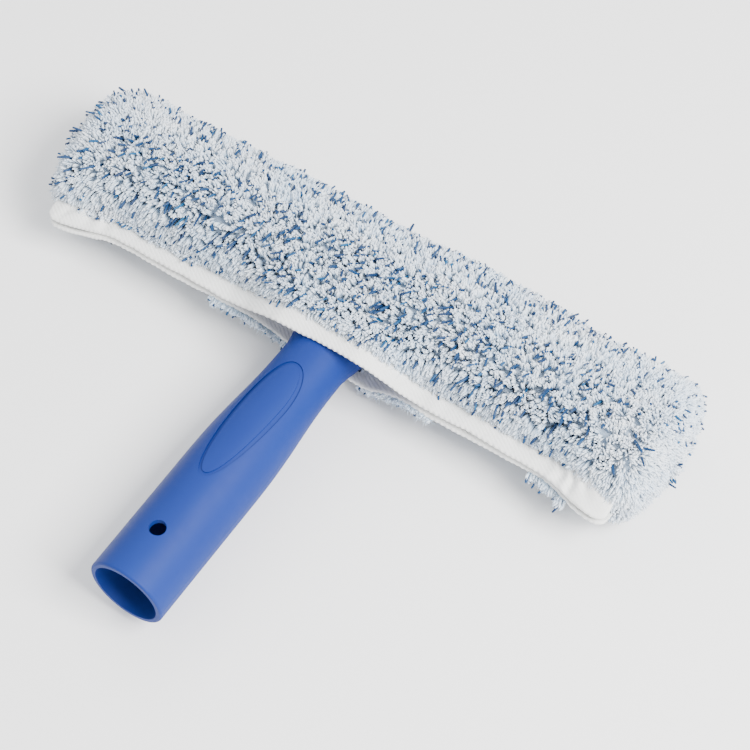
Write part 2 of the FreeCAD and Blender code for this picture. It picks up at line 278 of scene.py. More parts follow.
def node(tree, kind, **values):
    """Adds a node. Values name its inputs, with _ for a space, or its own settings."""
    made = tree.nodes.new(kind)
    for name, value in values.items():
        socket = made.inputs.get(name.replace("_", " "))
        if socket is not None:
            socket.default_value = value
        else:
            setattr(made, name, value)
    return made


def set_inputs(shader, **values):
    """Sets the shader's own inputs, whose names have _ for a space."""
    for name, value in values.items():
        shader.inputs[name.replace("_", " ")].default_value = value


def ramp(tree, source, stops):
    """Colour ramp from source, with (place, colour) stops."""
    made = tree.nodes.new("ShaderNodeValToRGB")
    elements = made.color_ramp.elements
    while len(elements) < len(stops):
        elements.new(0.5)
    for element, (place, colour) in zip(elements, stops):
        element.position = place
        element.color = (*colour, 1)
    tree.links.new(source, made.inputs["Fac"])
    return made.outputs["Color"]


def two_tone(tree, noise, low, high):
    """Two colours in soft patches."""
    return ramp(tree, noise, ((0.3, low), (0.7, high)))


def object_noise(tree, scale, detail=3.0, stretch=(1, 1, 1)):
    """Noise of scale cells per metre of the object."""
    place = tree.nodes.new("ShaderNodeTexCoord")
    mapping = node(tree, "ShaderNodeMapping", Scale=stretch)
    made = node(tree, "ShaderNodeTexNoise", Scale=scale, Detail=detail, Roughness=0.55)
    tree.links.new(place.outputs["Object"], mapping.inputs["Vector"])
    tree.links.new(mapping.outputs["Vector"], made.inputs["Vector"])
    return made.outputs["Fac"]


def multiply(tree, first, second):
    """Product of two colours. The Mix node's inputs 6 and 7 and its output 2 are its colour ones."""
    made = node(tree, "ShaderNodeMix", data_type="RGBA", blend_type="MULTIPLY")
    made.inputs[0].default_value = 1.0
    tree.links.new(first, made.inputs[6])
    tree.links.new(second, made.inputs[7])
    return made.outputs[2]


def bump(tree, shader, height, strength, distance):
    """Bump of distance, in metres, at full strength."""
    made = node(tree, "ShaderNodeBump", Strength=strength, Distance=distance)
    tree.links.new(height, made.inputs["Height"])
    tree.links.new(made.outputs["Normal"], shader.inputs["Normal"])


# ---- Materials -----------------------------------------------------------------------------
WHITE = (1.0, 1.0, 1.0)


def floor_paper():
    material, _, shader = new_material("floor_paper")
    set_inputs(shader, Base_Color=(0.95, 0.95, 0.95, 1), Roughness=0.9)
    return material


def moulded_plastic(name, deep, light, roughness):
    """Spark-eroded moulding: faint flow marks in the colour, and a fine grain."""
    material, tree, shader = new_material(name)
    flow = object_noise(tree, 38.0, detail=4.0, stretch=(1, 0.35, 1))
    tree.links.new(two_tone(tree, flow, deep, light), shader.inputs["Base Color"])
    gloss = object_noise(tree, 260.0, detail=2.0)
    spread = node(tree, "ShaderNodeMapRange", To_Min=roughness - 0.05, To_Max=roughness + 0.06)
    tree.links.new(gloss, spread.inputs["Value"])
    tree.links.new(spread.outputs["Result"], shader.inputs["Roughness"])
    grain = object_noise(tree, 2600.0, detail=2.0)
    bump(tree, shader, grain, strength=0.18, distance=0.0002)
    set_inputs(shader, Specular_IOR_Level=0.24)
    return material


def zinc_steel():
    material, tree, shader = new_material("screw_steel")
    turning = object_noise(tree, 900.0, stretch=(1, 0.1, 1))
    colour = two_tone(tree, turning, (0.52, 0.52, 0.54), (0.72, 0.72, 0.73))
    tree.links.new(colour, shader.inputs["Base Color"])
    set_inputs(shader, Metallic=1.0, Roughness=0.32)
    return material


def pile_material(name, root, mid, tip, sheen):
    """Fibre colour from a root darkened as painted shade to its tip, with a tone of its own for each tuft.
    """
    material, tree, shader = new_material(name)
    height = node(tree, "ShaderNodeAttribute", attribute_name="fibre_height")
    tone = node(tree, "ShaderNodeAttribute", attribute_name="fibre_tone")
    # Painted shade: the fibre darkens from its tip down to its root, for the shade deep in the pile.
    body = ramp(tree, height.outputs["Fac"], ((0.0, root), (0.55, mid), (1.0, tip)))
    drift = object_noise(tree, 45.0)
    cool = ramp(tree, drift, ((0.35, (0.87, 0.935, 0.99)), (0.65, WHITE)))
    toned = ramp(tree, tone.outputs["Fac"], ((0.0, (0.74, 0.79, 0.86)), (1.0, WHITE)))
    colour = multiply(tree, multiply(tree, body, toned), cool)
    tree.links.new(colour, shader.inputs["Base Color"])
    fuzz = object_noise(tree, 1500.0, detail=2.0)
    bump(tree, shader, fuzz, strength=0.5, distance=0.0005)
    set_inputs(shader, Roughness=0.75, Specular_IOR_Level=0.25)
    set_inputs(shader, Sheen_Weight=sheen, Sheen_Roughness=0.5)
    return material


def bristle_material():
    """Blue nylon, in three shades."""
    material, tree, shader = new_material("bristle_fibre")
    tone = node(tree, "ShaderNodeAttribute", attribute_name="fibre_tone")
    shades = ((0.0, (0.004, 0.024, 0.080)), (0.5, (0.005, 0.044, 0.130)), (1.0, (0.008, 0.10, 0.23)))
    tree.links.new(ramp(tree, tone.outputs["Fac"], shades), shader.inputs["Base Color"])
    set_inputs(shader, Roughness=0.5, Specular_IOR_Level=0.35)
    return material


def cloth_material(name, low, high, weave, strength):
    """Knit or twill: two tones and a fine grain, with weave rows per metre."""
    material, tree, shader = new_material(name)
    soft = object_noise(tree, 120.0, detail=4.0)
    tree.links.new(two_tone(tree, soft, low, high), shader.inputs["Base Color"])
    place = tree.nodes.new("ShaderNodeTexCoord")
    rows = node(tree, "ShaderNodeTexWave", Scale=weave, Distortion=1.2, Detail=1.0)
    rows.wave_type = "BANDS"
    rows.bands_direction = "DIAGONAL"
    tree.links.new(place.outputs["Object"], rows.inputs["Vector"])
    bump(tree, shader, rows.outputs["Fac"], strength, distance=0.0003)
    set_inputs(shader, Roughness=0.85, Sheen_Weight=0.2)
    return material


# ---- Mesh helpers --------------------------------------------------------------------------
def pressed(points):
    """Pile that would reach below the floor lies flattened on it instead."""
    height = points[:, 2] + HALF_THICKNESS
    share = np.clip((height + PRESS_DEPTH) / (PRESS_HEIGHT + PRESS_DEPTH), 0, 1)
    room = PRESS_HEIGHT - PRESS_GAP
    power = (PRESS_HEIGHT + PRESS_DEPTH) / room      # the slope is 1 where the flattening starts
    flat = PRESS_GAP + room * share**power - HALF_THICKNESS
    return np.column_stack([points[:, :2], np.where(height < PRESS_HEIGHT, flat, points[:, 2])])


def mesh_piece(name, points, faces, material, attributes=None, uv=None):
    """A piece from points, in millimetres about the bar, and faces.

    faces is a list of arrays of point numbers, each with one face per row. attributes are lists of
    one value per point, and uv is the bake map's place for each point.
    """
    corners = np.concatenate([part.ravel() for part in faces])
    sizes = np.concatenate([np.full(len(part), part.shape[1]) for part in faces])
    starts = np.concatenate([[0], np.cumsum(sizes)[:-1]])
    data = bpy.data.meshes.new(name)
    data.vertices.add(len(points))
    data.vertices.foreach_set("co", to_row(pressed(points)).astype(np.float32).ravel())
    data.loops.add(len(corners))
    data.loops.foreach_set("vertex_index", corners.astype(np.int32))
    data.polygons.add(len(sizes))
    data.polygons.foreach_set("loop_start", starts.astype(np.int32))
    data.update(calc_edges=True)
    data.shade_smooth()
    for key, values in (attributes or {}).items():
        made = data.attributes.new(key, "FLOAT", "POINT")
        made.data.foreach_set("value", np.asarray(values, np.float32))
    if uv is not None:
        layer = data.uv_layers.new(name=BAKE_MAP)
        layer.data.foreach_set("uv", np.asarray(uv, np.float32)[corners].ravel())
    data.materials.append(material)
    piece = bpy.data.objects.new(name, data)
    bpy.context.scene.collection.objects.link(piece)
    return piece


def grid_faces(rows, columns, wrap=False):
    """Quads of a grid of points stored row by row. wrap joins the last column to the first."""
    last = columns if wrap else columns - 1
    r, c = np.meshgrid(np.arange(rows - 1), np.arange(last), indexing="ij")
    a = r * columns + c
    b = r * columns + (c + 1) % columns
    return np.stack([a, b, b + columns, a + columns], -1).reshape(-1, 4)


def plate_faces(rows, columns):
    """Quads of a closed plate between two such grids, the second stored after the first."""
    layer = rows * columns
    face = grid_faces(rows, columns)
    edge = np.concatenate([
        np.arange(columns),
        np.arange(1, rows) * columns + columns - 1,
        (rows - 1) * columns + np.arange(columns - 2, -1, -1),
        np.arange(rows - 2, 0, -1) * columns,
    ])
    follow = np.roll(edge, -1)
    rim = np.stack([follow, edge, edge + layer, follow + layer], -1)
    return np.concatenate([face, face[:, ::-1] + layer, rim])


def unit(v):
    return v / np.maximum(np.linalg.norm(v, axis=-1, keepdims=True), 1e-9)


def across(direction):
    """Two vectors square to each direction and to each other."""
    helper = np.where(np.abs(direction[:, :1]) > 0.8, [[0.0, 1.0, 0.0]], [[1.0, 0.0, 0.0]])
    first = unit(np.cross(direction, helper))
    return first, np.cross(direction, first)


def smooth_noise(u, v, scale, seed):
    """Smooth random field between -1 and 1, from a seeded lattice with cells of size scale."""
    cells = 64
    lattice = np.random.default_rng(seed).uniform(-1, 1, (cells, cells))
    gu, gv = np.asarray(u, float) / scale, np.asarray(v, float) / scale
    iu, iv = np.floor(gu).astype(int), np.floor(gv).astype(int)
    fu, fv = gu - iu, gv - iv
    fu, fv = fu * fu * (3 - 2 * fu), fv * fv * (3 - 2 * fv)
    iu, iv, next_u, next_v = iu % cells, iv % cells, (iu + 1) % cells, (iv + 1) % cells
    near = lattice[iu, iv] * (1 - fu) + lattice[next_u, iv] * fu
    far = lattice[iu, next_v] * (1 - fu) + lattice[next_u, next_v] * fu
    return near * (1 - fv) + far * fv


# ---- Sleeve's shape ------------------------------------------------------------------------
def spread_at(x):
    return MOUTH_SPREAD * falls_off(x, MOUTH_HALF_OPEN, MOUTH_HALF_END)


def free_edge(x, side):
    """Distance from the crossbar's axis to the sleeve's free edge at x."""
    if side == FRONT:
        droop = FRONT_EDGE_DROOP * falls_off(x, MOUTH_HALF_OPEN, MOUTH_HALF_END)
    else:
        droop = BACK_EDGE_DROOP * falls_off(x, BACK_DRAWN_FROM, BACK_DRAWN_TO)
    return EDGE_REACH + droop + CORNER_DROOP * (1 - falls_off(x, CORNER_START, BAND_LENGTH / 2))


def climb(x, side):
    """How far the tape's pile side rides up the pile where it is gathered, most at the front right."""
    most = np.where((np.asarray(x) > 0) & (side == FRONT), 6.0, 1.2)
    return most * (1 - falls_off(x, GATHER_FROM, GATHER_TO))


def outline(x, turn, depth, side):
    """Sleeve's outline at x, depth below the pile tips, as (along, up) for a turn.

    Depth counts for less at the band, where the pile is thin, and stays above the band's inner face.
    """
    power = 2 / ROUNDNESS
    cosine, sine = np.cos(turn), np.sin(turn)
    away = cosine > 0
    reach = free_edge(x, side) - BAND_WIDTH
    top = HALF_THICKNESS - depth
    low = np.maximum(PILE_AT_BAND + spread_at(x) - depth * 0.4, BAND_INNER + 0.2 + spread_at(x))
    low = np.minimum(low, top)
    side_reach = np.where(away, RIDGE_REACH - depth, reach)
    along = np.sign(cosine) * side_reach * np.abs(cosine) ** power
    base = np.where(away, 0.0, low)
    up = base + (top - base) * np.abs(sine) ** power
    return along, up


def skin(x, turn, depth, side):
    """Point of the sleeve's surface. Past CAP_START the outline closes over the end as a dome."""
    x, turn, depth = np.broadcast_arrays(*(np.asarray(a, float) for a in (x, turn, depth)))
    swing = grows(np.abs(x), CAP_START, CAP_RUN) * math.pi / 2
    body_x = np.minimum(np.abs(x), CAP_START)
    along, up = outline(np.sign(x) * body_x, turn, depth, side)
    power = 2 / CAP_ROUNDNESS
    close = np.abs(np.cos(swing)) ** power
    out = np.abs(np.sin(swing)) ** power * (CAP_DEPTH - depth)
    along = CAP_MIDDLE + (along - CAP_MIDDLE) * close
    return np.stack([np.sign(x) * (body_x + out), along, side * up * close], -1)


def skin_frame(x, turn, depth, side):
    """Point, outward normal, and unit tangents towards the band and towards +x."""
    step_x, step_turn = 0.05, 0.004
    here = skin(x, turn, depth, side)
    ahead = np.where(np.asarray(turn) > math.pi - 2 * step_turn, -step_turn, step_turn)
    to_band = (skin(x, turn + ahead, depth, side) - here) / ahead[..., None]
    to_right = skin(x + step_x, turn, depth, side) - skin(x - step_x, turn, depth, side)
    normal = unit(np.cross(to_right, to_band)) * -side
    return here, normal, unit(to_band), unit(to_right)


def skin_noise(x, turn, scale, seed):
    return smooth_noise(x, turn * SKIN_PER_TURN, scale, seed)


def lumps(x, turn, side):
    """How uneven the pile's surface is, in millimetres."""
    seed = SEED + 5 * side
    layers = enumerate(LUMPS)
    return sum(height * skin_noise(x, turn, width, seed + layer) for layer, (height, width) in layers)


def arc_table(side):
    """Distances round the outline where the mouth is closed, and the turns that they belong to."""
    closed_x, steps = 70.0, 721
    turn = np.linspace(0, math.pi, steps)
    along, up = outline(np.full_like(turn, closed_x), turn, 0.0, side)
    run = np.concatenate([[0], np.cumsum(np.hypot(np.diff(along), np.diff(up)))])
    return run, turn


# ---- Fibres --------------------------------------------------------------------------------
def strands(root, direction, bend, length, radius, profile, sides, rng):
    """Closed tapered strands, one per root, bending from direction towards bend.

    profile holds (share of length, share of radius) for each ring. Returns points, faces, the height
    share of each point, and the strand that each point belongs to.
    """
    count = len(root)
    shares, widths = np.array(profile).T
    first, second = across(direction)
    t = shares[None, :, None]
    centre = root[:, None] + length[:, None, None] * (direction[:, None] * t + bend[:, None] * t * t)
    turn = rng.uniform(0, 2 * math.pi, (count, 1, 1)) + np.linspace(0, 2 * math.pi, sides, endpoint=False)
    size = radius[:, None, None] * widths[None, :, None]
    ring = (
        centre[:, :, None]
        + (size * np.cos(turn))[..., None] * first[:, None, None]
        + (size * np.sin(turn))[..., None] * second[:, None, None]
    )
    tip = root + length[:, None] * (direction + bend)
    points = np.concatenate([ring.reshape(count, -1, 3), tip[:, None]], 1)
    rings = len(shares)
    block = rings * sides + 1
    around = np.arange(sides)
    beside = (around + 1) % sides
    last = (rings - 1) * sides
    wall = grid_faces(rings, sides, wrap=True)
    end = np.stack([last + around, last + beside, np.full(sides, rings * sides)], -1)
    offset = (np.arange(count) * block)[:, None, None]
    faces = [(part[None] + offset).reshape(-1, part.shape[1]) for part in (wall, end, around[None, ::-1])]
    heights = np.tile(np.concatenate([np.repeat(shares, sides), [1.0]]), count)
    owner = np.repeat(np.arange(count), block)
    return points.reshape(-1, 3), faces, heights, owner


def strand_piece(name, made, tone, root_shade_lift, material):
    """A piece from what strands() returned.

    tone is each strand's own shade. Its root's lightness, given for each strand or for all, runs from 0 for
    the root's colour, which is painted shade, to 1 for the tip's. The bake map has one cell per strand, and
    a strand's height runs up its cell.
    """
    points, faces, heights, owner = made
    root_shade_lift = np.broadcast_to(root_shade_lift, len(tone))[owner]
    attributes = {"fibre_height": root_shade_lift + (1 - root_shade_lift) * heights, "fibre_tone": tone[owner]}
    columns = math.ceil(math.sqrt(len(tone)))
    margin = 0.15
    right = (owner % columns + 0.5) / columns
    up = (owner // columns + margin + (1 - 2 * margin) * heights) / columns
    return mesh_piece(name, points, faces, material, attributes, np.stack([right, up], -1))


def scatter(side, pitch, jitter, rng):
    """Places on the sleeve in rows, as (x, turn), from one closed end to the other.

    They are laid out by x and by the way round the outline, which arc_table() turns into a turn.
    """
    run, turn = arc_table(side)
    half = CAP_START + CAP_RUN * 0.94
    margin = 0.1
    xs = np.arange(-half, half + pitch, pitch)
    rows = np.arange(pitch * 0.4, run[-1], pitch * 0.9)
    x, way = np.meshgrid(xs, rows, indexing="ij")
    x = x + (np.arange(len(rows)) % 2)[None] * pitch / 2
    x = x + rng.normal(0, jitter * pitch, x.shape)
    way = way + rng.normal(0, jitter * pitch, way.shape)
    keep = (np.abs(x) < half) & (way > margin) & (way < run[-1] - margin)
    x, way = x[keep], way[keep]
    # The dome narrows, so fewer fit on it.
    past = grows(np.abs(x), CAP_START, CAP_RUN)
    fit = np.cos(past * math.pi / 2) ** 0.8 + 0.06
    keep = rng.uniform(size=len(x)) < np.where(past > 0, fit, 1.0)
    x, turn = x[keep], np.interp(way[keep], run, turn)
    # None grow under the band.
    _, up = outline(x, turn, 0.0, side)
    beside = (turn > math.pi / 2) & (np.abs(x) < BAND_LENGTH / 2)
    taped = beside & (up < PILE_AT_BAND + climb(x, side) - 0.6)
    return x[~taped], turn[~taped]


def softness(x, turn):
    """How far the tufts have opened out: the pile is fluffier at the closed ends and beside the bands."""
    return np.maximum(grows(np.abs(x), *SOFT_ENDS), 0.8 * grows(turn, *SOFT_BY_BAND))


def lean_field(x, turn, to_band, to_right, rng):
    """Which way the pile lies: round the sleeve, towards the band beside it, and outwards at the ends."""
    spread = 0.20
    beside = grows(turn, *LEAN_BY_BAND)
    outward = grows(np.abs(x), *LEAN_OUT_ENDS)
    swirl = 0.20 * skin_noise(x, turn, 6.0, LEAN_SEED) + 0.25 * skin_noise(x, turn, 19.0, LEAN_SEED + 1)
    down = rng.normal(0, spread, len(x)) + swirl + 0.25 * (turn - math.pi / 2) + 0.35 * beside
    aside = rng.normal(0, spread * (0.45 + 0.6 * outward), len(x)) + 0.15 * outward * np.sign(x)
    aside = aside + 0.15 * skin_noise(x, turn, 9.0, LEAN_SEED + 2)
    return to_band * down[:, None] + to_right * aside[:, None]


def grow_tufts(side, rng):
    """Tufts of one side: where each starts, which way it goes and how far it has opened out."""
    x, turn = scatter(side, TUFT_PITCH, 0.20, rng)
    count = len(x)
    rise = lumps(x, turn, side)
    soft = softness(x, turn)
    buried = TUFT_LENGTH * (0.84 - 0.24 * grows(turn, *SHALLOW_BY_BAND))
    root_depth = np.minimum(buried - 0.8 * rise, 7.5)
    root, normal, to_band, to_right = skin_frame(x, turn, root_depth, side)
    lean = lean_field(x, turn, to_band, to_right, rng)
    curl = rng.uniform(0.0, 0.2, count)[:, None]
    uneven = rng.uniform(-0.12, 0.14, count) * (1 - 0.55 * soft)
    return {
        "x": x,
        "root": root,
        "direction": unit(normal + lean),
        "bend": unit(lean + 1e-6) * curl - normal * 0.04,
        "length": (TUFT_LENGTH + 0.2 * rise) * (1 + uneven),
        "open": 0.02 + 0.15 * soft + 0.07 * rng.uniform(size=count),
        "soft": soft,
    }


def grow_fringe(side, rng):
    """Tufts of one side that lie over its band or show past it."""
    grown = []
    for where, start, end, near, far, density, share in FRINGES:
        if where != side:
            continue
        count = int((end - start) * density)
        x = rng.uniform(start, end, count)
        out = rng.uniform(near, far, count)
        up = BAND_INNER + BAND_THICKNESS + spread_at(x) + rng.uniform(-0.4, 0.8, count)
        direction = np.stack([
            rng.normal(0, 0.25, count),
            rng.normal(-0.9, 0.12, count),
            side * rng.uniform(0.25, 0.6, count),
        ], -1)
        grown.append({
            "x": x,
            "root": np.stack([x, BAND_WIDTH - free_edge(x, side) - out, side * up], -1),
            "direction": unit(direction),
            "bend": rng.normal(0, 0.08, (count, 3)),
            "length": share * TUFT_LENGTH * rng.uniform(0.7, 1.15, count),
            "open": rng.uniform(0.15, 0.4, count),
            "soft": np.full(count, 0.8),
        })
    return {key: np.concatenate([some[key] for some in grown]) for key in grown[0]}


def wisps_of(tufts, rng):
    """Each tuft's wisps, in the terms of strands(). They splay out as far as their tuft is open."""
    count = len(tufts["x"])
    tuft = {key: np.repeat(values, WISPS, 0) for key, values in tufts.items()}
    first, second = across(tuft["direction"])
    seat = np.tile(np.arange(WISPS), count)
    middle = seat == 0
    total = len(seat)
    turned = np.repeat(rng.uniform(0, 6.3, count), WISPS)
    angle = seat * (2 * math.pi / (WISPS - 1)) + turned + rng.normal(0, 0.25, total)
    off = np.where(middle, 0.15, 1.0) * rng.uniform(0.7, 1.2, total)
    out = off[:, None] * (first * np.cos(angle)[:, None] + second * np.sin(angle)[:, None])
    splay = out * tuft["open"][:, None]
    direction = unit(tuft["direction"] + splay + rng.normal(0, 0.05, out.shape))
    bend = tuft["bend"] + rng.normal(0, 0.05, out.shape) - out * 0.05
    shorter = np.where(middle, 1.0, rng.uniform(0.86, 0.97, total))
    return {
        "root": tuft["root"] + TUFT_SPREAD * out,
        "direction": direction,
        "bend": bend,
        "length": tuft["length"] * shorter,
        "radius": WISP_RADIUS * (1 - 0.05 * tuft["soft"]) * rng.uniform(0.8, 1.2, total),
    }


def tuft_meshes(name, tufts, material, rng):
    """The tufts of one side, in groups from left to right."""
    pieces = []
    order = np.argsort(tufts["x"], kind="stable")
    for group, mine in enumerate(np.array_split(order, TUFT_GROUPS)):
        some = {key: values[mine] for key, values in tufts.items()}
        made = strands(**wisps_of(some, rng), profile=WISP_PROFILE, sides=3, rng=rng)
        tuft_tone = np.repeat(rng.uniform(0, 0.8, len(mine)), WISPS)
        tone = tuft_tone + rng.uniform(0, 0.2, len(tuft_tone))
        # Tufts opened out at the ends and by the band get lighter roots, so less painted shade.
        root_shade_lift = 0.62 * np.repeat(some["soft"], WISPS)
        pieces.append(strand_piece(f"{name}_tufts_{group + 1}", made, tone, root_shade_lift, material))
    return pieces


def fibre_mesh(name, tufts, material, rng):
    """Loose fibres that leave each tuft near its tip."""
    tuft = {key: np.repeat(values, FIBRES_PER_TUFT, 0) for key, values in tufts.items()}
    count = len(tuft["x"])
    share = rng.uniform(0.45, 0.8, count)[:, None]
    stem = tuft["length"][:, None] * (tuft["direction"] * share + tuft["bend"] * share**2)
    made = strands(
        root=tuft["root"] + stem + rng.normal(0, 0.35, (count, 3)),
        direction=unit(tuft["direction"] + rng.normal(0, 0.4, (count, 3))),
        bend=rng.normal(0, 0.2, (count, 3)),
        length=rng.uniform(1.4, 2.9, count),
        radius=rng.uniform(0.07, 0.13, count),
        profile=FIBRE_PROFILE, sides=3, rng=rng,
    )
    tone = rng.uniform(0.4, 1, count)
    # Loose fibres' roots carry little of the painted root shade.
    return strand_piece(f"{name}_loose_fibres", made, tone, 0.6, material)


def bristle_places(side, rng):
    """Places of the bristles, as (x, turn): fewer towards the band and at the right end."""
    x, turn = scatter(side, BRISTLE_PITCH, 0.38, rng)
    beside = grows(turn, *BRISTLE_BY_BAND)
    band_side = grows(turn, *BRISTLE_BAND_SIDE)
    right_end = np.where(x > 0, 0.45, 0.0) * grows(np.abs(x), *BRISTLE_BARE_END)
    bare = 0.55 * beside + 0.5 * band_side * (1 - beside) + right_end
    keep = rng.uniform(size=len(x)) > bare
    return x[keep], turn[keep]


def bristle_mesh(side, name, fringe, material, rng):
    """Stiff blue bristles that lie over towards the nearer of band and ridge, and outwards at the ends.

    A tenth of them stand well proud of the pile. Some of the fringe's tufts have one too.
    """
    x, turn = bristle_places(side, rng)
    count = len(x)
    ends = grows(np.abs(x), *BRISTLE_ENDS)
    beside = grows(turn, *BRISTLE_BY_BAND)
    band_side = grows(turn, *BRISTLE_BAND_SIDE)
    root, normal, to_band, to_right = skin_frame(x, turn, BRISTLE_DEPTH - lumps(x, turn, side), side)
    over = np.where(turn > 1.2, 1.25, -0.6) * (1 - 0.6 * ends) + rng.normal(0, 0.42, count)
    aside = rng.normal(0, 0.38, count) + 0.7 * ends * np.sign(x)
    lean = to_band * over[:, None] + to_right * aside[:, None]
    direction = unit(normal + lean)
    steep = np.sum(direction * normal, -1)
    proud = rng.uniform(size=count) < 0.10
    above = np.where(proud, rng.uniform(1.8, 2.6, count), rng.uniform(0.5, 1.6, count))
    above = above - 0.9 * beside + 1.5 * band_side - 0.45 - 0.5 * ends
    length = np.minimum((BRISTLE_DEPTH + above) / np.maximum(steep, 0.5), 9.0)
    bend = unit(lean + 1e-6) * rng.uniform(-0.05, 0.2, count)[:, None]
    chosen = rng.uniform(size=len(fringe["x"])) < 0.18
    count += chosen.sum()
    made = strands(
        root=np.concatenate([root, fringe["root"][chosen]]),
        direction=np.concatenate([direction, fringe["direction"][chosen]]),
        bend=np.concatenate([bend, fringe["bend"][chosen]]),
        length=np.concatenate([length, fringe["length"][chosen] * 1.3]),
        radius=BRISTLE_RADIUS * rng.uniform(0.8, 1.2, count),
        profile=BRISTLE_PROFILE, sides=6, rng=rng,
    )
    tone = np.clip(rng.normal(0.32, 0.26, count), 0, 1)
    return strand_piece(f"{name}_bristles", made, tone, 0.0, material)


# ---- Backing and bed -----------------------------------------------------------------------
def shell(name, side, outer_depth, inner_depth, rough, material):
    """Closed shell from ridge to band, closed ends included, between two depths below the tips."""
    round_steps, body_steps, cap_steps = 60, 150, 12
    run, turn = arc_table(side)
    turns = np.interp(np.linspace(0, run[-1], round_steps), run, turn)
    body = np.linspace(-CAP_START, CAP_START, body_steps)
    cap = CAP_START + CAP_RUN * np.linspace(0, 1, cap_steps)[1:]
    x, turn = np.meshgrid(np.concatenate([-cap[::-1], body, cap]), turns, indexing="ij")
    layers = []
    for depth, uneven in ((outer_depth, rough), (inner_depth, 0.0)):
        points, normal, _, _ = skin_frame(x, turn, np.full_like(x, depth), side)
        relief = uneven * (skin_noise(x, turn, 2.6, BED_SEED) + 1.6 * lumps(x, turn, side))
        layers.append((points + normal * relief[..., None]).reshape(-1, 3))
    quads = plate_faces(*x.shape)
    if side == FRONT:
        quads = quads[:, ::-1]
    points = np.concatenate(layers)
    # Painted shade: the bed takes the fibre colour a quarter of the way up from the dark root, for the shade
    # between the tufts.
    attributes = {"fibre_height": np.full(len(points), 0.25), "fibre_tone": np.full(len(points), 0.5)}
    return mesh_piece(name, points, [quads], material, attributes)


# ---- Edge bands, stitching and closure -----------------------------------------------------
def tape_section():
    """Section of tape folded round the free edge, with one row for each point of it.

    A row holds its share of the band's width, from the pile side to the fold; its height off the
    middle of the band; how far it is past the fold; the way its face looks, as across and up; and 1 if
    it is on the outer face. The outer face comes first and the inner face follows it back.
    """
    middle = (BAND_THICKNESS - TAPE) / 2
    rows = []
    for outer, straight_steps, round_steps in ((True, 34, 7), (False, 6, 4)):
        off = middle + (TAPE / 2 if outer else -TAPE / 2)
        flat = np.linspace(0, 1, straight_steps, endpoint=False)
        fold = np.linspace(math.pi / 2, -math.pi / 2, round_steps + 2)[1:-1]
        face = [(share, off, 0.0, 0.0, 1.0) for share in flat]
        face += [(1.0, off * math.sin(a), off * math.cos(a), math.cos(a), math.sin(a)) for a in fold]
        face += [(share, -off, 0.0, 0.0, -1.0) for share in flat[::-1]]
        rows += [(*point, float(outer)) for point in (face if outer else face[::-1])]
    return np.array(rows)


def puckers(x, share, down, edge, side):
    """How far the tape puffs out and ripples, and how high the creases on its outer side are."""
    puff = PUFF_HEIGHT * bell(np.abs(x) - PUFF_AT, PUFF_WIDTH) * np.sin(math.pi * share) ** 0.7
    ripple = 0.3 * smooth_noise(x, share * 3, 13.0, RIPPLE_SEED + side)
    ripple = ripple + 0.14 * smooth_noise(x, share * 5, 4.5, RIPPLE_SEED + 1)
    fan = np.arctan2(down - edge + FAN_ABOVE, np.abs(x) - FAN_AT)
    near = bell(np.hypot(down - edge + BAND_WIDTH, np.abs(x) - CREASE_AT), CREASE_WIDTH)
    wander = 2 * smooth_noise(x, down, 6.0, CREASE_SEED)
    crease = CREASE_HEIGHT * (0.8 + np.sin(CREASES * fan + wander)) * near
    return puff + np.maximum(ripple, -0.15), crease


def edge_band(side, name, material):
    """Twill tape folded round the free edge, ribbed, puckered at its ends and rounded at the corners."""
    section = tape_section()
    steps = len(section)
    share, up, beyond, out_across, out_up, outer = (column[None] for column in section.T)
    half = BAND_LENGTH / 2 + BAND_OVERRUN
    x = np.linspace(-half, half, BAND_STATIONS)[:, None] + 0 * share
    inset = grows(np.abs(x), half - BAND_CORNER, BAND_CORNER)
    rounded = BAND_CORNER * (1 - np.sqrt(np.maximum(1 - inset**2, 0)))
    top_share, bottom_share = 0.35, 0.75
    edge = free_edge(np.clip(x, -BAND_LENGTH / 2, BAND_LENGTH / 2), side)
    wave = 0.4 * smooth_noise(x, 0 * x, 17.0, WAVE_SEED + side)
    wave = wave + 0.2 * smooth_noise(x, 0 * x, 6.0, WAVE_SEED + 1)
    top = edge - BAND_WIDTH + rounded * top_share
    bottom = edge - BAND_THICKNESS / 2 - rounded * bottom_share + wave
    down = top + (bottom - top) * share + beyond
    stand, crease = puckers(x, share, down, edge, side)
    rise = climb(x, side)
    phase = 2 * math.pi * (x - RIB_SLANT * down) / (RIB_PITCH * math.hypot(1, RIB_SLANT))
    rib = RIB_HEIGHT * outer * np.sin(phase) * grows(half - np.abs(x), 0, 2) * (1 - 0.12 * rise)
    centre = BAND_INNER + BAND_THICKNESS / 2 + spread_at(x) + stand + crease * (out_up > 0)
    thick = 1 - 0.45 * inset**3
    height = centre + up * thick + rib * out_up + rise * (1 - share) ** 1.6
    points = np.stack([x, -down - rib * out_across, side * height], -1).reshape(-1, 3)
    ring = np.arange(steps)[None]
    faces = [grid_faces(BAND_STATIONS, steps, wrap=True), ring[:, ::-1], ring + (BAND_STATIONS - 1) * steps]
    if side == BACK:
        faces = [part[:, ::-1] for part in faces]
    return mesh_piece(name, points, faces, material)


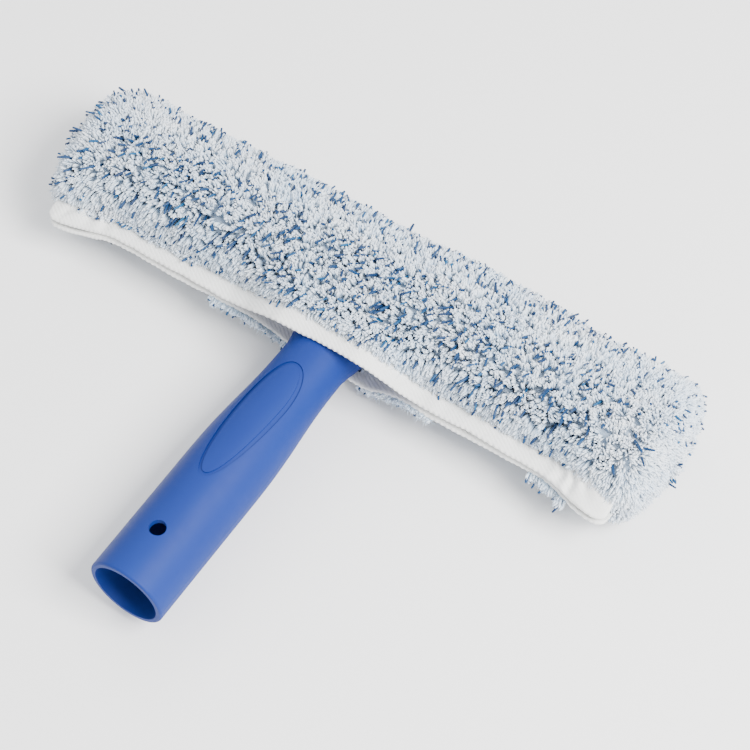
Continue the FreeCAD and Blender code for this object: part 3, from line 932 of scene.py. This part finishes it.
def capsules(centre, direction, length, radius, flatness, up):
    """Small rounded stitches: lines of thread, flattened along up to flatness times their width."""
    sides, rings = 8, 6
    shares = np.linspace(-1, 1, rings)
    widths = np.sqrt(1 - (shares * 0.985) ** 4)
    aside = unit(np.cross(direction, up))
    angle = np.linspace(0, 2 * math.pi, sides, endpoint=False)
    spine = centre[:, None] + direction[:, None] * (shares * length / 2)[None, :, None]
    points = (
        spine[:, :, None]
        + (radius * widths[:, None] * np.cos(angle))[None, ..., None] * aside[:, None, None]
        + (radius * flatness * widths[:, None] * np.sin(angle))[None, ..., None] * up[:, None, None]
    )
    count, block = len(centre), rings * sides
    offset = (np.arange(count) * block)[:, None, None]
    quads = (grid_faces(rings, sides, wrap=True)[None] + offset).reshape(-1, 4)
    first = np.arange(sides)[None, ::-1] + offset[:, 0]
    last = (rings - 1) * sides + np.arange(sides)[None] + offset[:, 0]
    return points.reshape(-1, 3), [quads, first, last]


def stitching(side, name, material):
    """A row of lockstitch along the band, on both of its faces."""
    half = BAND_LENGTH / 2 - 3
    x = np.arange(-half, half, STITCH_PITCH)
    down = free_edge(x, side) - BAND_WIDTH + THREAD_INSET
    centres, ups = [], []
    for face in (1, -1):
        off = face * (BAND_THICKNESS / 2 + STITCH_PROUD)
        height = BAND_INNER + BAND_THICKNESS / 2 + spread_at(x) + off
        centres.append(np.stack([x, -down, side * height], -1))
        ups.append(np.tile([0, 0, float(side * face)], (len(x), 1)))
    centre, up = np.concatenate(centres), np.concatenate(ups)
    direction = np.tile([1.0, 0.0, 0.0], (len(centre), 1))
    points, faces = capsules(centre, direction, STITCH_LENGTH, STITCH_RADIUS, STITCH_FLATNESS, up)
    return mesh_piece(name, points, faces, material)


def on_band(x, across_band, height, side):
    """Points on a band, across_band past its middle line and height off the middle plane."""
    down = free_edge(x, side) - BAND_WIDTH / 2 + across_band
    return np.stack([x, -down, side * np.full_like(x, height)], -1).reshape(-1, 3)


def closure_tape(side, hand, name, material, rng):
    """Hook or loop tape on the band's inner face: a woven base with rows of small hooks or loops."""
    length = STRIP_FAR - STRIP_NEAR
    middle = (STRIP_NEAR + STRIP_FAR) / 2 * hand
    start, end = middle - length / 2, middle + length / 2
    half_width = STRIP_WIDTH / 2
    x, a = np.meshgrid(np.linspace(start, end, 45), np.linspace(-half_width, half_width, 5), indexing="ij")
    sunk = 0.05
    foot = BAND_INNER - STRIP_BASE
    base = np.concatenate([on_band(x, a, BAND_INNER + sunk, side), on_band(x, a, foot, side)])
    quads = plate_faces(*x.shape)
    if side == BACK:
        quads = quads[:, ::-1]
    along = np.arange(start + 0.8, end - 0.6, HOOK_PITCH)
    x, a = np.meshgrid(along, np.linspace(-HOOK_HALF_SPAN, HOOK_HALF_SPAN, HOOK_ROWS), indexing="ij")
    x = x + rng.normal(0, HOOK_JITTER, x.shape)
    a = a + rng.normal(0, HOOK_JITTER, a.shape)
    root = on_band(x, a, foot, side)
    count = len(root)
    hooks, faces, _, _ = strands(
        root=root,
        direction=np.tile([0.0, 0.0, -float(side)], (count, 1)),
        bend=rng.normal(0, 0.35, (count, 3)) * [1, 1, 0],
        length=np.full(count, STRIP_THICKNESS - STRIP_BASE - HOOK_SHORT),
        radius=np.full(count, HOOK_RADIUS),
        profile=HOOK_PROFILE, sides=5, rng=rng,
    )
    faces = [quads, *(part + len(base) for part in faces)]
    return mesh_piece(name, np.concatenate([base, hooks]), faces, material)


# ---- Assembly ------------------------------------------------------------------------------
def bend_with(piece):
    """Bakes the piece's transform into its mesh."""
    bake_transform(piece)


def dress_t_bar():
    blue = moulded_plastic("blue_plastic", (0.0040, 0.0220, 0.168), (0.0054, 0.028, 0.193), 0.58)
    dark = moulded_plastic("dark_plastic", (0.012, 0.014, 0.018), (0.02, 0.022, 0.028), 0.45)
    looks = {
        "handle": blue,
        "crossbar": blue,
        "crossbar_plug_left": dark,
        "crossbar_plug_right": dark,
        "head_screw": zinc_steel(),
    }
    for name, material in looks.items():
        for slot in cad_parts[name].material_slots:
            slot.material = material
        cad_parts[name].data.shade_smooth()


def make_pile(side, name, materials, rng):
    """The backing of one side of the sleeve, and all that grows on it. Returns the backing."""
    backing = shell(f"{name}_backing", side, PILE_DEPTH - BACKING, PILE_DEPTH, 0.0, materials["knit"])
    # The bed fills the gaps between the tufts, in a darker colour that is painted shade.
    bed = shell(
        f"{name}_pile_bed_painted_shade", side, BED_DEPTH, PILE_DEPTH - BACKING, BED_ROUGHNESS, materials["bed"],
    )
    tufts = grow_tufts(side, rng)
    fringe = grow_fringe(side, rng)
    tufts = {key: np.concatenate([values, fringe[key]]) for key, values in tufts.items()}
    pile = [bed]
    pile += tuft_meshes(name, tufts, materials["tuft"], rng)
    pile.append(fibre_mesh(name, tufts, materials["tuft"], rng))
    bristles = bristle_mesh(side, name, fringe, materials["bristle"], rng)
    for piece in (backing, *pile, bristles):
        bend_with(piece)
    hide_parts(f"{name}_pile", "crown_pile", "end_panel_left", "end_panel_right")
    return backing


def make_band(side, name, materials, rng):
    """The edge band of one side, with its stitching and its two closure tapes."""
    band = edge_band(side, f"{name}_band_tape", materials["twill"])
    thread = stitching(side, f"{name}_stitching", materials["thread"])
    kind = "hook" if side == FRONT else "loop"
    tapes = []
    for hand, where in ((-1, "left"), (1, "right")):
        tape = closure_tape(side, hand, f"{kind}_tape_{where}", materials["tape"], rng)
        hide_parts(f"{kind}_strip_{where}")
        tapes.append(tape)
    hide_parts(f"{name}_edge_band")
    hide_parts(f"{name}_band_thread")
    for piece in (band, thread, *tapes):
        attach(piece, f"{name}_flap")


def make_sleeve():
    materials = {
        # The tufts' dark root colour is painted shade deep in the pile; the tips are the fibre's own white.
        "tuft": pile_material("pile_fibre", (0.16, 0.22, 0.30), (0.56, 0.69, 0.81), (0.95, 0.975, 1.0), 0.2),
        # The bed's darker colours are painted shade between the tufts.
        "bed": pile_material("pile_bed_painted_shade", (0.32, 0.38, 0.46), (0.46, 0.53, 0.61), (0.8, 0.83, 0.88), 0.1),
        "bristle": bristle_material(),
        "knit": cloth_material("knit_backing", (0.80, 0.81, 0.82), (0.88, 0.885, 0.89), 420.0, 0.5),
        "twill": cloth_material("twill_tape", (0.80, 0.805, 0.79), (0.89, 0.89, 0.875), 900.0, 0.25),
        "thread": cloth_material("thread", (0.86, 0.86, 0.85), (0.93, 0.93, 0.92), 2500.0, 0.3),
        "tape": cloth_material("closure_tape", (0.80, 0.80, 0.79), (0.88, 0.88, 0.87), 1400.0, 0.4),
    }
    for side, name in SIDES:
        rng = np.random.default_rng(SEED if side == FRONT else SEED + BACK_SEED_STEP)
        backing = make_pile(side, name, materials, rng)
        make_band(side, name, materials, rng)


make_camera()
make_studio()
dress_t_bar()
make_sleeve()
